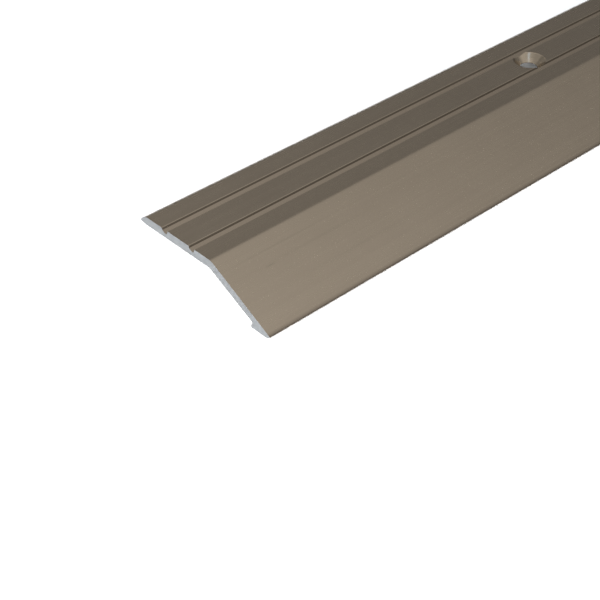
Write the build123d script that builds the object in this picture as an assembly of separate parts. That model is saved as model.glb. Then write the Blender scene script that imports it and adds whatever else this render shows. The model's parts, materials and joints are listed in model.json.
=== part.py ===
"""Threshold strip: one aluminium extrusion that ramps from an upper floor down to a lower one.

A flat flange with two grooves lies on the upper floor and is screwed down through a line of
countersunk holes. A ramp runs down from the flange to a foot on the lower floor. Four
countersunk screws and four wall plugs come with it, and lie loose in the hollow underneath.

The strip runs along Y. The flange is towards -X and the ramp's toe towards +X. The origin is
on the lower floor, under the middle of the strip, with +Z up.
"""
from build123d import *
from math import atan2, cos, degrees, radians, sin, tan
import os

# ---- The strip, as it is laid, in millimetres ---------------------------------------------
strip_length = 900.0
strip_width = 40.6        # from the flange's back edge to the toe
floor_step = 8.0          # height of the upper floor above the lower one
plate = 2.0               # thickness of the flange, and of the ramp at the bend
flange_width = 23.1       # from the back edge to the bend, on top
bend_radius = 3.0         # on the outside of the bend
taper_angle = 1.0         # the ramp thins by this much towards its foot, in degrees

# ---- Back edge: a bevelled nose, so that it doesn't trip a foot ----------------------------
nose_bevel_run = 1.4      # the top bevel's width
nose_under_run = 1.8      # the underside's gentle bevel
nose_low = 0.3            # the blunt nose starts this far above the flange's underside
nose_high = 0.6           # and ends here
nose_radius = 0.2
nose_blend = 2.5          # rounds the bevel into the flat top
underside_blend = 3.0     # rounds the gentle bevel into the underside

# ---- Grooves: each has a steep wall, a floor parallel to the ramp, and a stepped far side ---
groove_pitch = 8.75       # the two grooves stand evenly about the line of holes
groove_width = 1.95
groove_depth = 1.05
groove_wall_depth = 0.5   # the steep wall goes down this far
groove_wall_run = 0.25
groove_step_depth = 0.7   # the far side drops steeply this far
groove_step_run = 0.2     # and then slopes to the bottom
groove_lip = 0.2          # radius on both lips
groove_corner = 0.15      # radius at the foot of both steep walls
groove_root = 0.2         # radius at the bottom of the groove

# ---- Foot and toe --------------------------------------------------------------------------
foot_width = 5.7          # from the toe to the heel, on the lower floor
heel_lean = 0.5           # the heel leans forward by this much at its top
heel_radius = 0.3
heel_root = 0.25          # radius where the heel meets the ramp's underside
toe_height = 0.75         # the blunt toe ends this far above the lower floor
toe_low = 0.53            # and starts here
toe_under_run = 0.95      # the bevel that keeps the toe clear of the floor
toe_top_radius = 0.25
toe_low_radius = 0.1
toe_blend = 0.5           # rounds that bevel into the foot

# ---- Screws, and the holes that take them --------------------------------------------------
hole_count = 4
hole_line = 12.5          # from the back edge to the line of holes
screw_play = 1.4          # a hole is this much wider than a screw, so plugs may be a little off
head_sinks = 1.2          # a screw's head lies this far below the flange's top
screw_diameter = 3.0      # over the thread
screw_length = 30.0
head_diameter = 5.8
head_rim = 0.25           # the straight edge above the head's cone
core_ratio = 0.67         # core of the thread as a share of its outside diameter
thread_pitch = 1.35
thread_start = 7.0        # below the top of the head
point_length = 4.0
point_radius = 0.2
recess_span = 3.2         # the cross recess, tip to tip
recess_width = 0.75
recess_depth = 1.4
recess_taper = 8.0        # degrees

# ---- Wall plugs ----------------------------------------------------------------------------
plug_count = hole_count
plug_diameter = 5.0
plug_length = 25.0
plug_bore_play = 0.3      # the bore is this much wider than the screw's core
plug_bore_floor = 3.0     # solid nylon left at the front end
plug_collar = 2.0         # plain length at the mouth
plug_tooth_pitch = 2.5
plug_tooth_depth = 0.35
plug_nose_length = 3.0
plug_nose_shrink = 0.9    # the front end is this much smaller in radius
plug_slit = 0.8
plug_slit_start = 6.0     # from the mouth

# ---- How the fixings lie under the strip ---------------------------------------------------
fixing_gap = 8.0          # between one piece and the next in the row
hole_clearance = 1.0      # the row keeps this far from the line of holes

cone_angle = 45.0         # half of the 90 degree countersink and of the screw's head
overshoot = 1.0           # cutting tools run this far past what they cut

# ---- What follows from those sizes ---------------------------------------------------------
back_x = -strip_width / 2
toe_x = strip_width / 2
bend_x = back_x + flange_width
hole_x = back_x + hole_line
flange_top = floor_step + plate
ramp_angle = degrees(atan2(flange_top - toe_height, toe_x - bend_x))
underside_angle = ramp_angle - taper_angle
under_bend_x = bend_x - plate * tan(radians(ramp_angle / 2))
hole_diameter = screw_diameter + screw_play
countersink_diameter = head_diameter + 2 * head_sinks
hole_pitch = strip_length / hole_count
core_radius = screw_diameter * core_ratio / 2
fixings_x = hole_x + hole_diameter / 2 + hole_clearance + head_diameter / 2


def groove_corners(centre_x):
    """The corners of one groove, each with the radius that rounds it, from back to front."""
    left = centre_x - groove_width / 2
    wall_foot = left + groove_wall_run
    floor_run = (groove_depth - groove_wall_depth) / tan(radians(ramp_angle))
    right = left + groove_width
    step_foot = right - groove_step_run
    root = min(wall_foot + floor_run, step_foot - groove_root)
    return [
        (left, flange_top, groove_lip),
        (wall_foot, flange_top - groove_wall_depth, groove_corner),
        (root, flange_top - groove_depth, groove_root),
        (step_foot, flange_top - groove_step_depth, groove_corner),
        (right, flange_top, groove_lip),
    ]


def section_corners():
    """The strip's section as corners with their radii, clockwise from the blunt nose."""
    heel_top_x = toe_x - foot_width + heel_lean
    heel_top_z = floor_step - (heel_top_x - under_bend_x) * tan(radians(underside_angle))
    return [
        (back_x, floor_step + nose_low, nose_radius),
        (back_x, floor_step + nose_high, nose_radius),
        (back_x + nose_bevel_run, flange_top, nose_blend),
        *groove_corners(hole_x - groove_pitch / 2),
        *groove_corners(hole_x + groove_pitch / 2),
        (bend_x, flange_top, bend_radius),
        (toe_x, toe_height, toe_top_radius),
        (toe_x, toe_low, toe_low_radius),
        (toe_x - toe_under_run, 0, toe_blend),
        (toe_x - foot_width, 0, heel_radius),
        (heel_top_x, heel_top_z, heel_root),
        (under_bend_x, floor_step, bend_radius - plate),
        (back_x + nose_under_run, floor_step, underside_blend),
    ]


def hole_tool():
    """A through hole with its countersink, standing on the flange's underside."""
    flare = (countersink_diameter - hole_diameter) / 2
    cone_depth = flare / tan(radians(cone_angle))
    rise = overshoot * tan(radians(cone_angle))
    shaft = Cylinder(hole_diameter / 2, plate + 2 * overshoot)
    cone = Cone(hole_diameter / 2, countersink_diameter / 2 + rise, cone_depth + overshoot)
    cone_middle = plate - cone_depth + (cone_depth + overshoot) / 2
    return Pos(0, 0, plate / 2) * shaft + Pos(0, 0, cone_middle) * cone


def hole_places():
    """The distances of the holes along the strip, evenly spread about its middle."""
    return [(i - (hole_count - 1) / 2) * hole_pitch for i in range(hole_count)]


def make_strip():
    """The extruded strip, cut to length and drilled."""
    corners = section_corners()
    outline = FilletPolyline(
        *[(x, z) for x, z, _ in corners], radius=[r for _, _, r in corners], close=True
    )
    section = Plane.XZ * make_face(outline)
    strip = extrude(section, strip_length / 2, both=True)
    for y in hole_places():
        strip -= Pos(hole_x, y, floor_step) * hole_tool()
    return strip


def thread_outline():
    """Half of the screw's thread in section: ridges on the core, from the neck to the point."""
    outer = screw_diameter / 2
    last = screw_length - point_length
    ridges = int((last - thread_start) / thread_pitch)
    points = []
    for i in range(ridges):
        top = -(thread_start + i * thread_pitch)
        points += [(core_radius, top), (outer, top - thread_pitch / 2)]
    points.append((core_radius, -last))
    return points


def make_screw():
    """A countersunk screw with a cross recess, pointing down from the top of its head."""
    head = head_diameter / 2
    cone_end = head_rim + (head - core_radius) / tan(radians(cone_angle))
    outline = Polyline(
        (0, 0),
        (head, 0),
        (head, -head_rim),
        (core_radius, -cone_end),
        *thread_outline(),
        (point_radius, -screw_length),
        (0, -screw_length),
        close=True,
    )
    body = revolve(Plane.XZ * make_face(outline), Axis.Z)
    cross = Rectangle(recess_span, recess_width) + Rectangle(recess_width, recess_span)
    recess = extrude(cross, -recess_depth, taper=recess_taper)
    return body - recess


def lay_screw(screw):
    """Turns the screw onto its side, head rim and last ridge on the floor, head at y = 0."""
    ridges = int((screw_length - point_length - thread_start) / thread_pitch)
    last_ridge = thread_start + (ridges - 0.5) * thread_pitch
    lean = atan2((head_diameter - screw_diameter) / 2, last_ridge - head_rim)
    axis_height = head_diameter / 2 * cos(lean) + head_rim * sin(lean)
    return Pos(0, 0, axis_height) * Rot(90 - degrees(lean), 0, 0) * screw


def plug_outline():
    """Half of the plug's outside in section, from its mouth to its front end."""
    outer = plug_diameter / 2
    root = outer - plug_tooth_depth
    teeth_end = plug_length - plug_nose_length
    teeth = int((teeth_end - plug_collar) / plug_tooth_pitch)
    points = [(0, 0), (outer, 0), (outer, plug_collar)]
    for i in range(teeth):
        start = plug_collar + i * plug_tooth_pitch
        points += [(root, start), (outer, start + plug_tooth_pitch)]
    points += [(outer, teeth_end), (outer - plug_nose_shrink, plug_length), (0, plug_length)]
    return [p for i, p in enumerate(points) if i == 0 or p != points[i - 1]]


def make_plug():
    """A nylon wall plug, mouth at the bottom, bored for the screw and split by one slit."""
    body = revolve(Plane.XZ * make_face(Polyline(*plug_outline(), close=True)), Axis.Z)
    bore_radius = core_radius + plug_bore_play / 2
    bore_length = plug_length - plug_bore_floor
    bore = Cylinder(bore_radius, bore_length + overshoot)
    body -= Pos(0, 0, (bore_length - overshoot) / 2) * bore
    slit_length = bore_length - plug_slit_start
    slit = Box(plug_diameter + 2 * overshoot, plug_slit, slit_length)
    body -= Pos(0, 0, plug_slit_start + slit_length / 2) * slit
    return body


def lay_plug(plug):
    """Turns the plug onto its side on the floor, mouth at y = 0, running towards +Y."""
    return Pos(0, 0, plug_diameter / 2) * Rot(-90, 0, 0) * plug


def fixings_row():
    """Screws and plugs by turns in one row, with the place of each along the strip."""
    row_length = (
        hole_count * screw_length + plug_count * plug_length
        + (hole_count + plug_count - 1) * fixing_gap
    )
    screw = lay_screw(make_screw())
    plug = lay_plug(make_plug())
    pieces = {}
    y = -row_length / 2
    for i in range(hole_count):
        pieces[f"fixing_screw_{i + 1}"] = Pos(fixings_x, y, 0) * screw
        y += screw_length + fixing_gap
        pieces[f"wall_plug_{i + 1}"] = Pos(fixings_x, y, 0) * plug
        y += plug_length + fixing_gap
    return pieces


os.makedirs("parts", exist_ok=True)
nodes = {"ramp_strip": make_strip(), **fixings_row()}
for name, solid in nodes.items():
    export_step(solid, f"parts/{name}.step")
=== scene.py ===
import json
from math import atan2, ceil, cos, degrees, pi, radians, sin, tan

import bmesh
import bpy
from mathutils import Matrix, Vector


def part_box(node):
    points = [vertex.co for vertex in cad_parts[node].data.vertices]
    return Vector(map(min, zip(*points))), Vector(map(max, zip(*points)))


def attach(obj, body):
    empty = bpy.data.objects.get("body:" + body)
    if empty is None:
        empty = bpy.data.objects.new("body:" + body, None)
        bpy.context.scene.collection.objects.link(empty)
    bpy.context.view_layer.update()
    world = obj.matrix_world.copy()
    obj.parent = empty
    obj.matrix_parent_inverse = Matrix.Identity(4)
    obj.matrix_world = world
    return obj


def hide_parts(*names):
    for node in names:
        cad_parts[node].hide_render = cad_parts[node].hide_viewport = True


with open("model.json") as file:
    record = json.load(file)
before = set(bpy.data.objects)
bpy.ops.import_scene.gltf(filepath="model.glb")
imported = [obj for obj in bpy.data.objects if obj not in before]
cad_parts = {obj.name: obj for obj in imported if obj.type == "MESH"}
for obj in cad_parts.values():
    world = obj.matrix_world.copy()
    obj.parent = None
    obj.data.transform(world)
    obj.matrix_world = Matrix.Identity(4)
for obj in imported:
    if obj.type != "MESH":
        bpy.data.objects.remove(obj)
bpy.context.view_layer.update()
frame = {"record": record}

mm = 0.001


# ---- The ramp strip -------------------------------------------------------------------------
# One aluminium extrusion: a flat flange with two grooves, a bend, and a ramp down to a foot.
# It is satin anodised in bronze after drilling, then cut to length, so its ends are bare metal.
# The flange is screwed to the upper floor and the foot stands on the lower one.
strip_low, strip_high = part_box("ramp_strip")
back_x, toe_x = strip_low.x, strip_high.x
flange_top = strip_high.z

plate = 2.0 * mm
flange_width = 23.1 * mm
bend_radius = 3.0 * mm
taper_angle = radians(1.0)

nose_bevel_run = 1.4 * mm
nose_under_run = 1.8 * mm
nose_low = 0.3 * mm
nose_high = 0.6 * mm
nose_radius = 0.2 * mm
nose_blend = 2.5 * mm
underside_blend = 3.0 * mm

groove_pitch = 8.75 * mm
groove_width = 1.95 * mm
groove_depth = 1.05 * mm
groove_wall_depth = 0.5 * mm
groove_wall_run = 0.25 * mm
groove_step_depth = 0.7 * mm
groove_step_run = 0.2 * mm
groove_lip = 0.2 * mm
groove_corner = 0.15 * mm
groove_root = 0.2 * mm

foot_width = 5.7 * mm
heel_lean = 0.5 * mm
heel_radius = 0.3 * mm
heel_root = 0.25 * mm
toe_height = 0.75 * mm
toe_low = 0.53 * mm
toe_under_run = 0.95 * mm
toe_top_radius = 0.25 * mm
toe_low_radius = 0.1 * mm
toe_blend = 0.5 * mm

mounts = {m["name"]: m for m in frame["record"]["mounts"]}
hole_x = mounts["outer_screw_holes"]["pos_m"][0]
hole_radius = mounts["outer_screw_holes"]["dims"]["hole_r_mm"] * mm
hole_ys = sorted(
    side * m["dims"]["spacing_y_mm"] * mm / 2
    for m in (mounts["outer_screw_holes"], mounts["inner_screw_holes"])
    for side in (-1, 1)
)
countersink_radius = 4.1 * mm
rim_flare = 0.06 * mm           # the countersink's rim is broken by this much
drill_facets = 128
strip_crease = radians(22)      # sharper turns than this shade as creases

flange_under = flange_top - plate
bend_x = back_x + flange_width
ramp_angle = atan2(flange_top - toe_height, toe_x - bend_x)
under_bend_x = bend_x - plate * tan(ramp_angle / 2)


def groove_corners(centre_x):
    """One groove from back to front: steep wall, floor along the ramp's slope, stepped side."""
    left = centre_x - groove_width / 2
    right = left + groove_width
    wall_foot = left + groove_wall_run
    step_foot = right - groove_step_run
    floor_run = (groove_depth - groove_wall_depth) / tan(ramp_angle)
    root = min(wall_foot + floor_run, step_foot - groove_root)
    return [
        (left, flange_top, groove_lip),
        (wall_foot, flange_top - groove_wall_depth, groove_corner),
        (root, flange_top - groove_depth, groove_root),
        (step_foot, flange_top - groove_step_depth, groove_corner),
        (right, flange_top, groove_lip),
    ]


def section_corners():
    """The strip's section, each corner with the radius that rounds it, from the nose round."""
    heel_top_x = toe_x - foot_width + heel_lean
    heel_top_z = flange_under - (heel_top_x - under_bend_x) * tan(ramp_angle - taper_angle)
    return [
        (back_x, flange_under + nose_low, nose_radius),
        (back_x, flange_under + nose_high, nose_radius),
        (back_x + nose_bevel_run, flange_top, nose_blend),
        *groove_corners(hole_x - groove_pitch / 2),
        *groove_corners(hole_x + groove_pitch / 2),
        (bend_x, flange_top, bend_radius),
        (toe_x, toe_height, toe_top_radius),
        (toe_x, toe_low, toe_low_radius),
        (toe_x - toe_under_run, strip_low.z, toe_blend),
        (toe_x - foot_width, strip_low.z, heel_radius),
        (heel_top_x, heel_top_z, heel_root),
        (under_bend_x, flange_under, bend_radius - plate),
        (back_x + nose_under_run, flange_under, underside_blend),
    ]


def round_long_edge(bm, x, z, radius):
    """Rounds the edge that runs along the strip through the corner (x, z)."""
    edge = min(
        (e for e in bm.edges if abs(e.verts[0].co.y - e.verts[1].co.y) > 1 * mm),
        key=lambda e: (e.verts[0].co.x - x) ** 2 + (e.verts[0].co.z - z) ** 2,
    )
    turn = edge.calc_face_angle()
    bmesh.ops.bevel(
        bm, geom=[edge], offset=radius * tan(turn / 2), offset_type="OFFSET",
        segments=max(4, ceil(degrees(turn) / 5)), profile=0.5, affect="EDGES",
        material=-1, clamp_overlap=False,
    )


def extrude_section(name, corners, y_from, y_to):
    """A straight extrusion of a cornered section along Y, with every long edge rounded."""
    bm = bmesh.new()
    face = bm.faces.new([bm.verts.new((x, y_from, z)) for x, z, _ in corners])
    pushed = bmesh.ops.extrude_face_region(bm, geom=[face])
    moved = [v for v in pushed["geom"] if isinstance(v, bmesh.types.BMVert)]
    bmesh.ops.translate(bm, verts=moved, vec=(0, y_to - y_from, 0))
    bmesh.ops.recalc_face_normals(bm, faces=bm.faces)
    for x, z, radius in corners:
        round_long_edge(bm, x, z, radius)
    return finished(bm, name)


def finished(bm, name):
    """A scene object from a bmesh, with its faces turned outwards."""
    bmesh.ops.recalc_face_normals(bm, faces=bm.faces)
    mesh = bpy.data.meshes.new(name)
    bm.to_mesh(mesh)
    bm.free()
    piece = bpy.data.objects.new(name, mesh)
    bpy.context.scene.collection.objects.link(piece)
    return piece


def spun(outline, facets, place):
    """A closed turned shape: an outline of (radius, height) points spun about its own axis."""
    bm = bmesh.new()
    line = [bm.verts.new((r, 0, z)) for r, z in outline]
    edges = [bm.edges.new(pair) for pair in zip(line, line[1:])]
    bmesh.ops.spin(
        bm, geom=line + edges, cent=(0, 0, 0), axis=(0, 0, 1), angle=2 * pi,
        steps=facets, use_merge=True, use_duplicate=False,
    )
    bmesh.ops.remove_doubles(bm, verts=bm.verts, dist=0.0005 * mm)
    bmesh.ops.transform(bm, matrix=place, verts=bm.verts)
    return bm


def joined(name, parts):
    """One object from several bmeshes."""
    whole = bmesh.new()
    for part in parts:
        bmesh.ops.recalc_face_normals(part, faces=part.faces)
        scratch = bpy.data.meshes.new("scratch")
        part.to_mesh(scratch)
        part.free()
        whole.from_mesh(scratch)
        bpy.data.meshes.remove(scratch)
    mesh = bpy.data.meshes.new(name)
    whole.to_mesh(mesh)
    whole.free()
    piece = bpy.data.objects.new(name, mesh)
    bpy.context.scene.collection.objects.link(piece)
    return piece


def cut(piece, tool):
    """Takes the tool's shape out of the piece and puts the tool away."""
    knife = piece.modifiers.new("cut", "BOOLEAN")
    knife.operation = "DIFFERENCE"
    knife.solver = "EXACT"
    knife.object = tool
    bpy.context.view_layer.update()
    seen = piece.evaluated_get(bpy.context.evaluated_depsgraph_get())
    result = bpy.data.meshes.new_from_object(seen)
    piece.modifiers.clear()
    piece.data = result
    bpy.data.objects.remove(tool)


def smooth_with_creases(piece, angle):
    """Shades smooth across gentle bends and sharp across creases, flats staying flat."""
    piece.data.shade_smooth()
    piece.data.set_sharp_from_angle(angle=angle)
    weighted = piece.modifiers.new("even_shading", "WEIGHTED_NORMAL")
    weighted.keep_sharp = True
    weighted.weight = 100


ramp_strip = extrude_section("ramp_strip_metal", section_corners(), strip_low.y, strip_high.y)
overshoot = 1.0 * mm
cone_start = flange_top - (countersink_radius - hole_radius)
drill_outline = [
    (0, flange_under - overshoot),
    (hole_radius, flange_under - overshoot),
    (hole_radius, cone_start),
    (countersink_radius - rim_flare, flange_top - rim_flare),
    (countersink_radius + rim_flare, flange_top - rim_flare / 4),
    (countersink_radius + rim_flare, flange_top + overshoot),
    (0, flange_top + overshoot),
]
drill = joined(
    "drill",
    [spun(drill_outline, drill_facets, Matrix.Translation((hole_x, y, 0))) for y in hole_ys],
)
cut(ramp_strip, drill)
smooth_with_creases(ramp_strip, strip_crease)


def shader_group(name, inputs, outputs):
    """An empty shader node group with named value, vector or colour sockets."""
    group = bpy.data.node_groups.new(name, "ShaderNodeTree")
    kinds = {"value": "NodeSocketFloat", "vector": "NodeSocketVector", "colour": "NodeSocketColor"}
    for label, kind, default in inputs:
        socket = group.interface.new_socket(label, in_out="INPUT", socket_type=kinds[kind])
        if default is not None:
            socket.default_value = default
    for label, kind in outputs:
        group.interface.new_socket(label, in_out="OUTPUT", socket_type=kinds[kind])
    return group


def add(tree, kind, **settings):
    """A node with its settings and unlinked input values; keys that name inputs set those."""
    node = tree.nodes.new("ShaderNode" + kind)
    for key, value in settings.items():
        if hasattr(node, key):
            setattr(node, key, value)
        else:
            node.inputs[key].default_value = value
    return node


def lines_group():
    """Die lines: long faint streaks along Y, with finer ones between them, and soft mottling."""
    group = shader_group(
        "die_lines",
        [("Place", "vector", None), ("Broad width", "value", 1.6 * mm),
         ("Fine width", "value", 0.22 * mm), ("Streak length", "value", 260 * mm)],
        [("Broad", "value"), ("Fine", "value"), ("Mottle", "value")],
    )
    source = group.nodes.new("NodeGroupInput")
    out = group.nodes.new("NodeGroupOutput")
    axes = add(group, "SeparateXYZ")
    group.links.new(source.outputs["Place"], axes.inputs[0])
    across = add(group, "Math", operation="SUBTRACT")
    group.links.new(axes.outputs["X"], across.inputs[0])
    group.links.new(axes.outputs["Z"], across.inputs[1])
    along = add(group, "Math", operation="DIVIDE")
    group.links.new(axes.outputs["Y"], along.inputs[0])
    group.links.new(source.outputs["Streak length"], along.inputs[1])
    for label, width in (("Broad", "Broad width"), ("Fine", "Fine width")):
        side = add(group, "Math", operation="DIVIDE")
        group.links.new(across.outputs[0], side.inputs[0])
        group.links.new(source.outputs[width], side.inputs[1])
        stretched = add(group, "CombineXYZ")
        group.links.new(side.outputs[0], stretched.inputs["X"])
        group.links.new(along.outputs[0], stretched.inputs["Y"])
        noise = add(group, "TexNoise", Scale=1.0, Detail=4.0, Roughness=0.55)
        group.links.new(stretched.outputs[0], noise.inputs["Vector"])
        group.links.new(noise.outputs["Fac"], out.inputs[label])
    mottle = add(group, "TexNoise", Scale=70.0, Detail=3.0, Roughness=0.5)
    group.links.new(source.outputs["Place"], mottle.inputs["Vector"])
    group.links.new(mottle.outputs["Fac"], out.inputs["Mottle"])
    return group


def grain_group():
    """The even frosting that etching and blasting leave: a fine isotropic grain."""
    group = shader_group(
        "frosting",
        [("Place", "vector", None), ("Grains per metre", "value", 6000.0)],
        [("Grain", "value"), ("Cloud", "value")],
    )
    source = group.nodes.new("NodeGroupInput")
    out = group.nodes.new("NodeGroupOutput")
    fine = add(group, "TexNoise", Detail=2.0, Roughness=0.6)
    group.links.new(source.outputs["Place"], fine.inputs["Vector"])
    group.links.new(source.outputs["Grains per metre"], fine.inputs["Scale"])
    coarse_scale = add(group, "Math", operation="DIVIDE")
    coarse_scale.inputs[1].default_value = 9.0
    group.links.new(source.outputs["Grains per metre"], coarse_scale.inputs[0])
    coarse = add(group, "TexNoise", Detail=3.0, Roughness=0.6)
    group.links.new(source.outputs["Place"], coarse.inputs["Vector"])
    group.links.new(coarse_scale.outputs[0], coarse.inputs["Scale"])
    group.links.new(fine.outputs["Fac"], out.inputs["Grain"])
    group.links.new(coarse.outputs["Fac"], out.inputs["Cloud"])
    return group


def scratch_group():
    """One straight scratch: full along its line, fading out to its half width and its ends."""
    group = shader_group(
        "scratch",
        [("Place", "vector", None), ("Middle", "vector", None), ("Half length", "value", 1 * mm),
         ("Half width", "value", 0.1 * mm)],
        [("Mask", "value")],
    )
    source = group.nodes.new("NodeGroupInput")
    out = group.nodes.new("NodeGroupOutput")
    away = add(group, "VectorMath", operation="SUBTRACT")
    group.links.new(source.outputs["Place"], away.inputs[0])
    group.links.new(source.outputs["Middle"], away.inputs[1])
    axes = add(group, "SeparateXYZ")
    group.links.new(away.outputs[0], axes.inputs[0])
    shares = []
    for axis, reach in (("X", "Half width"), ("Y", "Half length")):
        distance = add(group, "Math", operation="ABSOLUTE")
        group.links.new(axes.outputs[axis], distance.inputs[0])
        share = add(group, "MapRange")
        share.inputs["To Min"].default_value = 1.0
        share.inputs["To Max"].default_value = 0.0
        group.links.new(distance.outputs[0], share.inputs["Value"])
        group.links.new(source.outputs[reach], share.inputs["From Max"])
        shares.append(share.outputs["Result"])
    both = add(group, "Math", operation="MULTIPLY")
    for share, socket in zip(shares, both.inputs):
        group.links.new(share, socket)
    group.links.new(both.outputs[0], out.inputs["Mask"])
    return group


die_lines = lines_group()
frosting = grain_group()
scratch = scratch_group()


def new_material(name):
    """A material with its shader and its object coordinates ready."""
    material = bpy.data.materials.new(name)
    material.use_nodes = True
    tree = material.node_tree
    return material, tree, tree.nodes["Principled BSDF"], add(tree, "TexCoord").outputs["Object"]


def place_group(tree, group, place):
    """The group in this material, reading the material's coordinates."""
    node = tree.nodes.new("ShaderNodeGroup")
    node.node_tree = group
    tree.links.new(place, node.inputs["Place"])
    return node


def spread(tree, value, low, high, from_low=0.3, from_high=0.7):
    """A noise value stretched between two numbers."""
    node = add(tree, "MapRange")
    for label, number in (("From Min", from_low), ("From Max", from_high),
                          ("To Min", low), ("To Max", high)):
        node.inputs[label].default_value = number
    tree.links.new(value, node.inputs["Value"])
    return node.outputs["Result"]


def total(tree, *values):
    """The sum of several values."""
    result = values[0]
    for value in values[1:]:
        node = add(tree, "Math", operation="ADD")
        tree.links.new(result, node.inputs[0])
        tree.links.new(value, node.inputs[1])
        result = node.outputs[0]
    return result


def tint(tree, value, dark, light):
    """A colour between two, chosen by a value from 0 to 1."""
    node = add(tree, "Mix", data_type="RGBA")
    node.inputs["A"].default_value = (*dark, 1)
    node.inputs["B"].default_value = (*light, 1)
    tree.links.new(value, node.inputs["Factor"])
    return node.outputs["Result"]


def bump(tree, height, depth, shader):
    """Raises the surface by a height in metres."""
    node = add(tree, "Bump", Strength=1.0, Distance=depth)
    tree.links.new(height, node.inputs["Height"])
    tree.links.new(node.outputs["Normal"], shader.inputs["Normal"])


bronze_dark = (0.342, 0.287, 0.223)
bronze_light = (0.388, 0.327, 0.255)
ramp_gain = 1.07                # the ramp is this much brighter towards its toe
ramp_gain_ends = 4 * mm         # before the toe
# Painted shade: a dark line along the toe, low down at its front, where it meets the floor.
toe_painted_shade = (0.20, 0.166, 0.132)
toe_shade_heights = (0.8 * mm, 1.6 * mm)      # the toe's painted shade fades out between these
toe_shade_reach = (0.9 * mm, 0.1 * mm)        # and between these distances from its front
# Painted shade: the grooves darker than the flange, below its top, where their walls shade them.
groove_painted_shade = (0.30, 0.25, 0.196)
groove_shade_depths = (0.35 * mm, 0.03 * mm)   # full and no painted groove shade, below the flange's top
groove_shade_ends = (3.0 * mm, 2.9 * mm) # the painted groove shade ends this far before the bend
scratch_tone = (0.27, 0.235, 0.18)
scratches = [                   # middle, half length and half width in mm, and how dark
    ((5.8, -434.0, 8.4), 16.0, 0.30, 0.30),
    ((8.73, -439.3, 6.87), 1.8, 0.26, 0.6),
    ((8.4, -424.0, 7.0), 18.0, 0.40, 0.22),
    ((13.6, -418.0, 4.3), 26.0, 0.50, 0.18),
]


def satin_bronze():
    """Bronze anodising: faint die lines, a satin grain, slight clouds, toned by place.

    The grooves and the toe are darkened by painted shade, and the ramp is a little brighter
    towards its toe.
    """
    material, tree, shader, place = new_material("satin_bronze_anodised")
    lines = place_group(tree, die_lines, place)
    grain = place_group(tree, frosting, place)
    shade = total(
        tree,
        spread(tree, lines.outputs["Broad"], 0.0, 0.34),
        spread(tree, lines.outputs["Fine"], 0.0, 0.22),
        spread(tree, lines.outputs["Mottle"], 0.0, 0.30),
        spread(tree, grain.outputs["Grain"], 0.0, 0.14),
    )
    metal = tint(tree, shade, bronze_dark, bronze_light)
    edge = add(tree, "SeparateXYZ")
    tree.links.new(place, edge.inputs[0])
    down_ramp = spread(tree, edge.outputs["X"], 0.0, 1.0, bend_x, toe_x - ramp_gain_ends)
    bright = add(tree, "Mix", data_type="RGBA")
    tree.links.new(down_ramp, bright.inputs["Factor"])
    tree.links.new(metal, bright.inputs["A"])
    brighter = add(tree, "VectorMath", operation="SCALE")
    brighter.inputs["Scale"].default_value = ramp_gain
    tree.links.new(metal, brighter.inputs[0])
    tree.links.new(brighter.outputs[0], bright.inputs["B"])
    # Painted shade at the toe: strongest low down and at its very front.
    low = spread(tree, edge.outputs["Z"], 1.0, 0.0, *toe_shade_heights)
    front = spread(tree, edge.outputs["X"], 0.0, 1.0, *[toe_x - d for d in toe_shade_reach])
    # Painted shade in the grooves: full deep down, fading out towards the lips and before the
    # bend.
    sunk = spread(tree, edge.outputs["Z"], 1.0, 0.0, *[flange_top - d for d in groove_shade_depths])
    before_bend = [bend_x - d for d in groove_shade_ends]
    flange_side = spread(tree, edge.outputs["X"], 1.0, 0.0, *before_bend)
    toned = bright.outputs["Result"]
    for first, second, tone in ((low, front, toe_painted_shade), (sunk, flange_side, groove_painted_shade)):
        share = add(tree, "Math", operation="MULTIPLY")
        tree.links.new(first, share.inputs[0])
        tree.links.new(second, share.inputs[1])
        mixed = add(tree, "Mix", data_type="RGBA")
        tree.links.new(share.outputs[0], mixed.inputs["Factor"])
        tree.links.new(toned, mixed.inputs["A"])
        mixed.inputs["B"].default_value = (*tone, 1)
        toned = mixed.outputs["Result"]
    for middle, half_length, half_width, strength in scratches:
        mark = place_group(tree, scratch, place)
        mark.inputs["Middle"].default_value = Vector(middle) * mm
        mark.inputs["Half length"].default_value = half_length * mm
        mark.inputs["Half width"].default_value = half_width * mm
        share = spread(tree, mark.outputs["Mask"], 0.0, strength, 0.0, 1.0)
        marked = add(tree, "Mix", data_type="RGBA")
        tree.links.new(share, marked.inputs["Factor"])
        tree.links.new(toned, marked.inputs["A"])
        marked.inputs["B"].default_value = (*scratch_tone, 1)
        toned = marked.outputs["Result"]
    tree.links.new(toned, shader.inputs["Base Color"])
    rough = total(
        tree,
        spread(tree, lines.outputs["Fine"], 0.20, 0.25),
        spread(tree, grain.outputs["Cloud"], 0.0, 0.05),
    )
    tree.links.new(rough, shader.inputs["Roughness"])
    relief = total(
        tree,
        spread(tree, lines.outputs["Fine"], 0.0, 0.6),
        spread(tree, grain.outputs["Grain"], 0.0, 0.4),
    )
    bump(tree, relief, 0.0015 * mm, shader)
    shader.inputs["Metallic"].default_value = 1.0
    return material


saw_centre = (60 * mm, 0, -120 * mm)
sawn_dark = (0.222, 0.229, 0.235)
sawn_light = (0.332, 0.342, 0.351)


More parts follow.
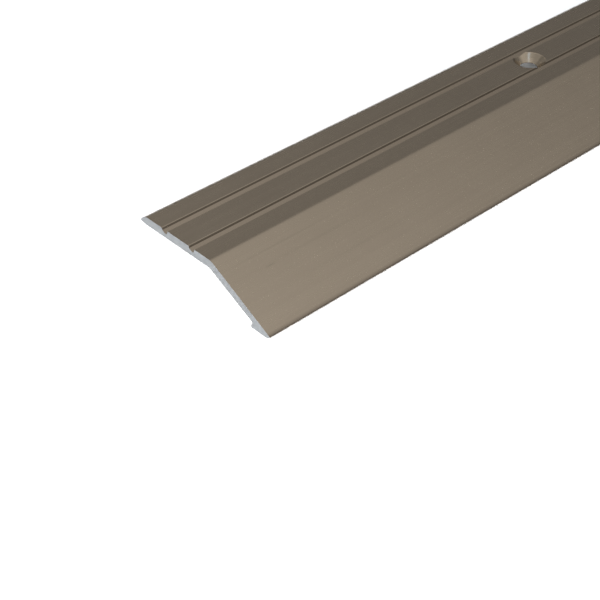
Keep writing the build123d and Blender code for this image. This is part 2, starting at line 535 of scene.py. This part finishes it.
def sawn_aluminium():
    """A bare end: arcs left by the saw's teeth, smeared metal between them."""
    material, tree, shader, place = new_material("sawn_bare_aluminium")
    grain = place_group(tree, frosting, place)
    shifted = add(tree, "VectorMath", operation="SUBTRACT")
    shifted.inputs[1].default_value = saw_centre
    tree.links.new(place, shifted.inputs[0])
    flat = add(tree, "VectorMath", operation="MULTIPLY")
    flat.inputs[1].default_value = (1, 0, 1)
    tree.links.new(shifted.outputs[0], flat.inputs[0])
    reach = add(tree, "VectorMath", operation="LENGTH")
    tree.links.new(flat.outputs[0], reach.inputs[0])
    arcs = add(tree, "TexNoise", noise_dimensions="1D", Scale=5200.0, Detail=3.0, Roughness=0.7)
    tree.links.new(reach.outputs["Value"], arcs.inputs["W"])
    shade = total(
        tree,
        spread(tree, arcs.outputs["Fac"], 0.0, 0.35),
        spread(tree, grain.outputs["Cloud"], 0.0, 0.5),
        spread(tree, grain.outputs["Grain"], 0.0, 0.15),
    )
    tree.links.new(tint(tree, shade, sawn_dark, sawn_light), shader.inputs["Base Color"])
    tree.links.new(spread(tree, arcs.outputs["Fac"], 0.42, 0.58), shader.inputs["Roughness"])
    bump(tree, arcs.outputs["Fac"], 0.012 * mm, shader)
    shader.inputs["Metallic"].default_value = 1.0
    return material


turned_dark = (0.37, 0.312, 0.238)
turned_light = (0.46, 0.388, 0.30)


def turned_bronze():
    """The countersinks: turned by the cutter in fine rings, then anodised with the rest."""
    material, tree, shader, place = new_material("turned_bronze_anodised")
    grain = place_group(tree, frosting, place)
    axes = add(tree, "SeparateXYZ")
    tree.links.new(place, axes.inputs[0])
    rings = add(tree, "TexNoise", noise_dimensions="1D", Scale=9000.0, Detail=2.0, Roughness=0.6)
    tree.links.new(axes.outputs["Z"], rings.inputs["W"])
    shade = total(
        tree,
        spread(tree, rings.outputs["Fac"], 0.0, 0.5),
        spread(tree, grain.outputs["Grain"], 0.0, 0.5),
    )
    tree.links.new(tint(tree, shade, turned_dark, turned_light), shader.inputs["Base Color"])
    rough = total(
        tree,
        spread(tree, rings.outputs["Fac"], 0.17, 0.24),
        spread(tree, axes.outputs["Z"], 0.05, 0.0, flange_top - 1.5 * mm, flange_top - 0.9 * mm),
    )
    tree.links.new(rough, shader.inputs["Roughness"])
    bump(tree, rings.outputs["Fac"], 0.003 * mm, shader)
    shader.inputs["Metallic"].default_value = 1.0
    return material


for material in (satin_bronze(), sawn_aluminium(), turned_bronze()):
    ramp_strip.data.materials.append(material)
bronze_faces, sawn_faces, turned_faces = range(3)
face_margin = 0.01 * mm
largest_turned_face = 0.5 * mm * mm
smallest_sawn_face = 10 * mm * mm
hole_spots = [Vector((hole_x, y)) for y in hole_ys]
for face in ramp_strip.data.polygons:
    at_hole = min((Vector(face.center[:2]) - spot).length for spot in hole_spots)
    drilled = at_hole < countersink_radius and (
        flange_under + face_margin < face.center.z < flange_top - face_margin
        and abs(face.normal.y) + abs(face.normal.x) > 0.2
        and face.area < largest_turned_face
    )
    face.material_index = (
        sawn_faces if abs(face.normal.y) > 0.99 and face.area > smallest_sawn_face
        else turned_faces if drilled
        else bronze_faces
    )
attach(ramp_strip, "root")
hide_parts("ramp_strip")


# ---- The fixing screws ----------------------------------------------------------------------
# Four countersunk screws of 3 by 30 mm, cold headed from wire with a cross recess, and their
# thread rolled on in one helix. They are zinc plated with a bronze tint to suit the strip.
# They lie loose under the flange, each on its head's rim and its thread.
screw_count = 4
screw_radius = 1.5 * mm           # over the thread
core_radius = 1.005 * mm
screw_length = 30.0 * mm
head_radius = 2.9 * mm
head_rim = 0.25 * mm
head_dish = 0.06 * mm             # the top of the head dips by this much around the recess
thread_pitch = 1.35 * mm
thread_start = 7.0 * mm           # below the top of the head
thread_end = 29.0 * mm
last_ridge = 25.225 * mm          # the last full turn, which rests on the floor
ridge_foot = 0.34 * mm            # half of the ridge's width at its foot
ridge_crest = 0.05 * mm           # and at its crest
point_length = 4.0 * mm
point_radius = 0.2 * mm
recess_half_span = 1.6 * mm
recess_half_width = 0.375 * mm
recess_depth = 1.4 * mm
recess_shrink = 0.62              # the recess's floor, as a share of its mouth
thread_fade_in = 1.2 * mm
thread_lead = 0.5 * mm            # the thread begins this far above thread_start
shank_plain_end = thread_start - 0.6 * mm
head_easing = 0.12 * mm
fixing_crease = radians(30)
zinc_dark = (0.25, 0.19, 0.105)
zinc_light = (0.56, 0.455, 0.29)
screw_facets = 56
rings_per_turn = 20


def eased(outline, radius):
    """The outline with each inner corner turned into a short arc."""
    points = [Vector(p) for p in outline]
    result = [points[0]]
    for before, corner, after in zip(points, points[1:], points[2:]):
        reach = min(radius, (before - corner).length / 2.2, (after - corner).length / 2.2)
        start = corner + (before - corner).normalized() * reach
        end = corner + (after - corner).normalized() * reach
        for i in range(4):
            t = i / 3
            result.append(start * (1 - t) ** 2 + corner * 2 * t * (1 - t) + end * t * t)
    return [tuple(p) for p in result + [points[-1]]]


def wedge(bm, half_x, half_y, depth, shrink):
    """A block that stands on its narrow end, its mouth a little above z = 0."""
    made = bmesh.ops.create_cube(bm, size=2.0)["verts"]
    rise = 0.2 * mm
    for v in made:
        narrow = shrink if v.co.z < 0 else 1 + (1 - shrink) * rise / depth
        v.co = (v.co.x * half_x * narrow, v.co.y * half_y * narrow, rise if v.co.z > 0 else -depth)


def standing_screw():
    """One screw with its point down and the top of its head at z = 0."""
    cone_end = head_rim + head_radius - core_radius
    head = eased([
        (0, -head_dish), (head_radius * 0.6, -head_dish / 2), (head_radius, 0),
        (head_radius, -head_rim), (core_radius, -cone_end), (core_radius, -shank_plain_end),
    ], head_easing)
    step = thread_pitch / rings_per_turn
    shank_end = screw_length - point_length
    outline = head[:]
    z = shank_plain_end + step
    while z < screw_length - step / 2:
        along = max(0.0, (z - shank_end) / point_length)
        outline.append((core_radius + (point_radius - core_radius) * along, -z))
        z += step
    outline += [(point_radius, -screw_length + 0.08 * mm), (point_radius * 0.5, -screw_length),
                (0, -screw_length)]
    bm = spun(outline, screw_facets, Matrix.Identity(4))
    for v in bm.verts:
        depth = -v.co.z
        radius = v.co.xy.length
        if not (thread_start - thread_lead < depth < thread_end) or radius < 0.05 * mm:
            continue
        turn = atan2(v.co.y, v.co.x) / (2 * pi)
        phase = (depth - last_ridge) / thread_pitch + turn + 0.25
        off_crest = abs(phase - round(phase)) * thread_pitch
        ridge = min(1.0, max(0.0, (ridge_foot - off_crest) / (ridge_foot - ridge_crest)))
        start = min(1.0, max(0.0, (depth - thread_start + thread_lead) / thread_fade_in))
        end = min(1.0, max(0.0, (thread_end - depth) / (thread_end - last_ridge)))
        grown = radius + (screw_radius - core_radius) * ridge * start * end
        v.co.x *= grown / radius
        v.co.y *= grown / radius
    screw = finished(bm, "screw_blank")
    for half_x, half_y in ((recess_half_span, recess_half_width),
                           (recess_half_width, recess_half_span)):
        bar = bmesh.new()
        wedge(bar, half_x, half_y, recess_depth, recess_shrink)
        cut(screw, finished(bar, "recess_bar"))
    # Painted shade: a share for each point, full in the recess, growing with depth in the thread's
    # valleys, and a little everywhere else.
    valley = screw.data.attributes.new("valley", "FLOAT", "POINT")
    for v, valley_shade_share in zip(screw.data.vertices, valley.data):
        radius = v.co.xy.length
        in_thread = -v.co.z > thread_start and -v.co.z < shank_end
        in_recess = 0.1 * mm < -v.co.z < recess_depth * 1.1 and radius < recess_half_span
        sunk = (screw_radius - radius) / (screw_radius - core_radius)
        valley_shade_share.value = 1.0 if in_recess else min(1.0, max(0.0, sunk)) if in_thread else 0.35
    return screw


def plated_steel():
    """Zinc with a bronze tint: patchy passivation, and painted shade in the thread's valleys and
    recess.
    """
    material, tree, shader, place = new_material("bronze_tinted_zinc")
    grain = place_group(tree, frosting, place)
    # The painted shade share of each point, which darkens the valleys and the recess.
    valley = add(tree, "Attribute", attribute_name="valley")
    patches = add(tree, "TexNoise", Scale=420.0, Detail=4.0, Roughness=0.6)
    tree.links.new(place, patches.inputs["Vector"])
    shade = total(
        tree,
        spread(tree, patches.outputs["Fac"], 0.0, 0.45),
        spread(tree, grain.outputs["Grain"], 0.0, 0.2),
        spread(tree, valley.outputs["Fac"], 0.35, 0.0, 0.0, 1.0),
    )
    tree.links.new(tint(tree, shade, zinc_dark, zinc_light), shader.inputs["Base Color"])
    rough = total(
        tree,
        spread(tree, patches.outputs["Fac"], 0.24, 0.34),
        spread(tree, valley.outputs["Fac"], 0.0, 0.1, 0.0, 1.0),
    )
    tree.links.new(rough, shader.inputs["Roughness"])
    bump(tree, grain.outputs["Grain"], 0.006 * mm, shader)
    shader.inputs["Metallic"].default_value = 1.0
    return material


def laid(blank, name, place, material):
    """A copy of the blank piece, moved to where it lies."""
    mesh = blank.data.copy()
    mesh.transform(place)
    mesh.materials.clear()
    mesh.materials.append(material)
    piece = bpy.data.objects.new(name, mesh)
    bpy.context.scene.collection.objects.link(piece)
    smooth_with_creases(piece, fixing_crease)
    return piece


lean = atan2(head_radius - screw_radius, last_ridge - head_rim)
axis_height = head_radius * cos(lean) + head_rim * sin(lean)
screw_blank = standing_screw()
zinc = plated_steel()
for i in range(screw_count):
    node = f"fixing_screw_{i + 1}"
    low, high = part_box(node)
    spot = ((low.x + high.x) / 2, low.y + head_radius * sin(lean), axis_height)
    turned = Matrix.Rotation(pi / 2 - lean, 4, "X")
    screw = laid(screw_blank, f"{node}_metal", Matrix.Translation(spot) @ turned, zinc)
    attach(screw, "root")
    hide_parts(node)
bpy.data.objects.remove(screw_blank)


# ---- The wall plugs -------------------------------------------------------------------------
# Four plugs of 5 by 25 mm, moulded in grey nylon: a plain collar at the mouth, a bore for the
# screw, barbs that lean back towards the mouth, and one slit so that the two halves can spread.
plug_count = 4
plug_radius = 2.5 * mm
plug_length = 25.0 * mm
plug_bore = 1.155 * mm
plug_bore_end = 22.0 * mm
plug_mouth_flare = 0.3 * mm
plug_collar = 2.0 * mm
barb_pitch = 2.5 * mm
barb_depth = 0.35 * mm
plug_nose = 3.0 * mm
plug_nose_shrink = 0.9 * mm
plug_slit = 0.8 * mm
plug_slit_start = 6.0 * mm
plug_facets = 72
plug_easing = 0.1 * mm
nylon_dark = (0.215, 0.222, 0.23)
nylon_light = (0.30, 0.308, 0.316)


def standing_plug():
    """One plug with its mouth at z = 0, its slit cut through from side to side."""
    barbs_end = plug_length - plug_nose
    outline = [(0, plug_bore_end), (plug_bore, plug_bore_end),
               (plug_bore, plug_mouth_flare), (plug_bore + plug_mouth_flare, 0),
               (plug_radius, 0), (plug_radius, plug_collar)]
    for i in range(int((barbs_end - plug_collar) / barb_pitch)):
        start = plug_collar + i * barb_pitch
        outline += [(plug_radius - barb_depth, start + 0.02 * mm),
                    (plug_radius - barb_depth, start + 0.3 * mm),
                    (plug_radius, start + barb_pitch - 0.15 * mm),
                    (plug_radius, start + barb_pitch)]
    outline += [(plug_radius, barbs_end + 0.1 * mm),
                (plug_radius - plug_nose_shrink, plug_length), (0, plug_length)]
    turned = spun(eased(outline, plug_easing), plug_facets, Matrix.Identity(4))
    plug = finished(turned, "plug_blank")
    slit = bmesh.new()
    bmesh.ops.create_cube(slit, size=1.0)
    slit_length = plug_bore_end - plug_slit_start
    bmesh.ops.scale(slit, verts=slit.verts, vec=(plug_radius * 3, plug_slit, slit_length))
    bmesh.ops.translate(slit, verts=slit.verts, vec=(0, 0, plug_slit_start + slit_length / 2))
    ends = [e for e in slit.edges if abs(e.verts[0].co.x - e.verts[1].co.x) > plug_radius]
    bmesh.ops.bevel(slit, geom=ends, offset=plug_slit * 0.35, segments=5, profile=0.5,
                    affect="EDGES", material=-1)
    cut(plug, finished(slit, "slit_blade"))
    return plug


def moulded_nylon():
    """Grey nylon: a fine mould grain, faint flow marks along the plug, and soft mottling."""
    material, tree, shader, place = new_material("moulded_grey_nylon")
    grain = place_group(tree, frosting, place)
    squeezed = add(tree, "VectorMath", operation="MULTIPLY")
    squeezed.inputs[1].default_value = (900.0, 60.0, 900.0)
    tree.links.new(place, squeezed.inputs[0])
    flow = add(tree, "TexNoise", Scale=1.0, Detail=4.0, Roughness=0.6)
    tree.links.new(squeezed.outputs[0], flow.inputs["Vector"])
    shade = total(
        tree,
        spread(tree, flow.outputs["Fac"], 0.0, 0.5),
        spread(tree, grain.outputs["Cloud"], 0.0, 0.35),
        spread(tree, grain.outputs["Grain"], 0.0, 0.15),
    )
    tree.links.new(tint(tree, shade, nylon_dark, nylon_light), shader.inputs["Base Color"])
    tree.links.new(spread(tree, grain.outputs["Cloud"], 0.42, 0.6), shader.inputs["Roughness"])
    relief = total(
        tree,
        spread(tree, grain.outputs["Grain"], 0.0, 0.7),
        spread(tree, flow.outputs["Fac"], 0.0, 0.3),
    )
    bump(tree, relief, 0.02 * mm, shader)
    shader.inputs["IOR"].default_value = 1.53
    return material


plug_blank = standing_plug()
nylon = moulded_nylon()
for i in range(plug_count):
    node = f"wall_plug_{i + 1}"
    low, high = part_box(node)
    spot = ((low.x + high.x) / 2, low.y, (low.z + high.z) / 2)
    turned = Matrix.Rotation(-pi / 2, 4, "X")
    plug = laid(plug_blank, f"{node}_nylon", Matrix.Translation(spot) @ turned, nylon)
    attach(plug, "root")
    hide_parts(node)
bpy.data.objects.remove(plug_blank)


# ---- The studio -----------------------------------------------------------------------------
# A pale floor in a dim room with a long softbox overhead, which is wider near the camera and
# fades along the strip. A broad light in front fills the sawn end, and a small cool one gives
# the countersinks their glint.
floor_size = 24.0
floor_drop = 0.05 * mm
floor_mesh = bmesh.new()
bmesh.ops.create_grid(floor_mesh, x_segments=1, y_segments=1, size=floor_size / 2)
bmesh.ops.translate(floor_mesh, verts=floor_mesh.verts, vec=(0, 0, -floor_drop))
studio_floor = finished(floor_mesh, "studio_floor")
floor_paint, floor_tree, floor_shader, floor_place = new_material("pale_floor")
floor_shader.inputs["Base Color"].default_value = (0.84, 0.865, 0.89, 1)
floor_shader.inputs["Roughness"].default_value = 0.9
floor_shader.inputs["Specular IOR Level"].default_value = 0.1
studio_floor.data.materials.append(floor_paint)

room_glow = 0.42                # around the softbox, at the strip's near end
softbox_glow = 0.86
softbox_left = (-0.60, -0.40)   # its soft edges, as sideways over upward
softbox_right = (0.75, 1.10)
near_widening = 1.0             # its left edge moves out by this much towards the camera
widening_range = (-1.3, 0.7)    # as forward over upward
lowest_slope = 0.05             # keeps those ratios finite near the horizon
room_far = 0.19                 # both glows, further along the strip
softbox_far = 0.29
fade_range = (0.45, 0.85)
low_glow = 0.48                 # share of the glow left near the horizon
low_range = (0.10, 0.30)
near_glow = 0.35                # share left behind the camera
near_range = (-0.8, 0.3)
room_tone = (1.0, 0.99, 0.975)
world = bpy.data.worlds.new("soft_room")
bpy.context.scene.world = world
world.use_nodes = True
sky = world.node_tree
background = sky.nodes["Background"]
toward = add(sky, "SeparateXYZ")
sky.links.new(add(sky, "TexCoord").outputs["Generated"], toward.inputs[0])
height = add(sky, "Math", operation="MAXIMUM")
height.inputs[1].default_value = lowest_slope
sky.links.new(toward.outputs["Z"], height.inputs[0])
slope = add(sky, "Math", operation="DIVIDE")
sky.links.new(toward.outputs["X"], slope.inputs[0])
sky.links.new(height.outputs[0], slope.inputs[1])
run = add(sky, "Math", operation="DIVIDE")
sky.links.new(toward.outputs["Y"], run.inputs[0])
sky.links.new(height.outputs[0], run.inputs[1])
widening = spread(sky, run.outputs[0], near_widening, 0.0, *widening_range)
left_side = spread(sky, total(sky, slope.outputs[0], widening), 0.0, 1.0, *softbox_left)
right_side = spread(sky, slope.outputs[0], 1.0, 0.0, *softbox_right)
inside = add(sky, "Math", operation="MULTIPLY")
sky.links.new(left_side, inside.inputs[0])
sky.links.new(right_side, inside.inputs[1])
room = spread(sky, toward.outputs["Y"], room_glow, room_far, *fade_range)
softbox = spread(sky, toward.outputs["Y"], softbox_glow, softbox_far, *fade_range)
lit = add(sky, "Mix", data_type="FLOAT")
sky.links.new(inside.outputs[0], lit.inputs["Factor"])
sky.links.new(room, lit.inputs["A"])
sky.links.new(softbox, lit.inputs["B"])
rising = spread(sky, toward.outputs["Z"], low_glow, 1.0, *low_range)
behind = spread(sky, toward.outputs["Y"], near_glow, 1.0, *near_range)
strength = lit.outputs["Result"]
for part in (rising, behind):
    product = add(sky, "Math", operation="MULTIPLY")
    sky.links.new(strength, product.inputs[0])
    sky.links.new(part, product.inputs[1])
    strength = product.outputs[0]
sky.links.new(strength, background.inputs["Strength"])
background.inputs["Color"].default_value = (*room_tone, 1)

view_direction = Vector((-0.57574, 0.53495, -0.61834))


def soft_light(name, direction, distance, width, power, colour):
    """A square soft light that shines on the strip's near end from a direction."""
    lamp = bpy.data.lights.new(name, "AREA")
    lamp.size = width
    lamp.energy = power
    lamp.color = colour
    stand = bpy.data.objects.new(name, lamp)
    aim = Vector((0, strip_low.y, 0))
    stand.location = aim + direction.normalized() * distance
    stand.rotation_euler = (-direction).to_track_quat("-Z", "Y").to_euler()
    bpy.context.scene.collection.objects.link(stand)


soft_light("front", Vector((0.45, -0.82, 0.36)), distance=2.2, width=1.6, power=190.0,
           colour=(1.0, 0.99, 0.98))
soft_light("window", Vector((0.365, -0.27, 0.88)), distance=2.5, width=0.42, power=0.7,
           colour=(0.42, 0.66, 1.0))

camera_data = bpy.data.cameras.new("camera")
camera = bpy.data.objects.new("camera", camera_data)
camera_data.sensor_width = 36.0
camera_data.lens = 80.94
camera_data.clip_start = 0.01
camera_from_near_corner = Vector((194.613, -134.962, 171.198)) * mm
camera.location = Vector((strip_low.x, strip_low.y, strip_low.z)) + camera_from_near_corner
camera.rotation_euler = view_direction.to_track_quat("-Z", "Y").to_euler()
bpy.context.scene.collection.objects.link(camera)
bpy.context.scene.camera = camera
bpy.context.scene.view_settings.view_transform = "Standard"
